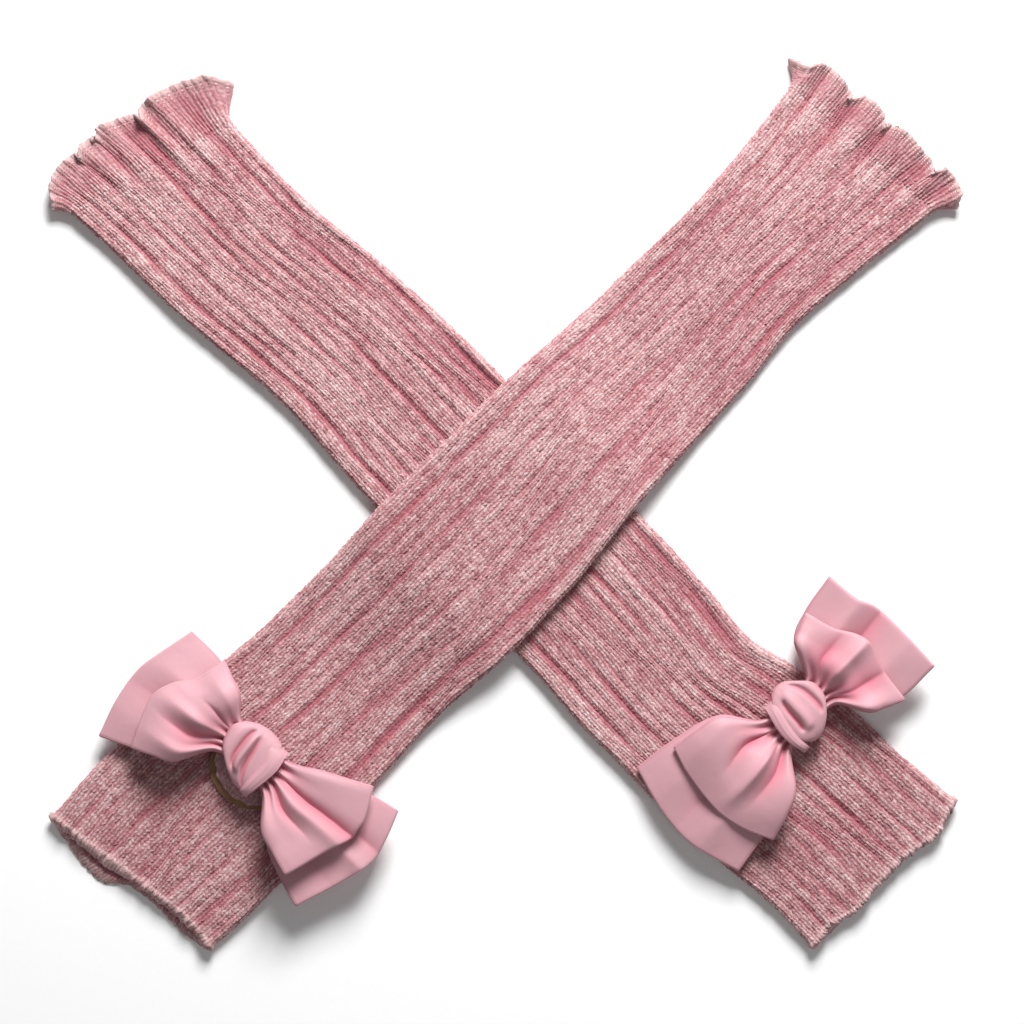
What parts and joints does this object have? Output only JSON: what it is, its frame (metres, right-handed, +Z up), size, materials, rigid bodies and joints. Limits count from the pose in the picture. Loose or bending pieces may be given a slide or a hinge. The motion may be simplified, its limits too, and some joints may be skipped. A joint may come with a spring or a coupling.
{
  "type": "pair of knitted arm warmers",
  "caption": "Knitted tube arm warmers laid flat and crossed, with a lettuce-edge frill at the arm end and a satin ribbon bow near the cuff.",
  "frame": {"origin": "middle of the pair's footprint on the surface that it lies on", "axes": "+Z up from the surface; +Y towards the frilled ends; +X to the right, seen from above with the frilled ends away from the viewer"},
  "size_m": [0.3897, 0.3794, 0.0227],
  "materials": {
    "pink_knit": "heathered pink ribbed knit, soft and slightly fuzzy",
    "frill_knit": "thin knitted lettuce edge with pale overlocked rim",
    "pink_satin": "pale pink satin ribbon with a soft sheen",
    "tan_felt": "matte tan felt"
  },
  "bodies": {
    "root": {"over_tube": "pink_knit", "over_frill": "frill_knit", "over_bow_back": "pink_satin", "over_bow_front": "pink_satin", "over_bow_knot": "pink_satin", "over_bow_tab": "pink_knit", "over_bow_felt": "tan_felt", "under_tube": "pink_knit", "under_frill": "frill_knit", "under_bow_back": "pink_satin", "under_bow_front": "pink_satin", "under_bow_knot": "pink_satin"}
  },
  "joints": []
}
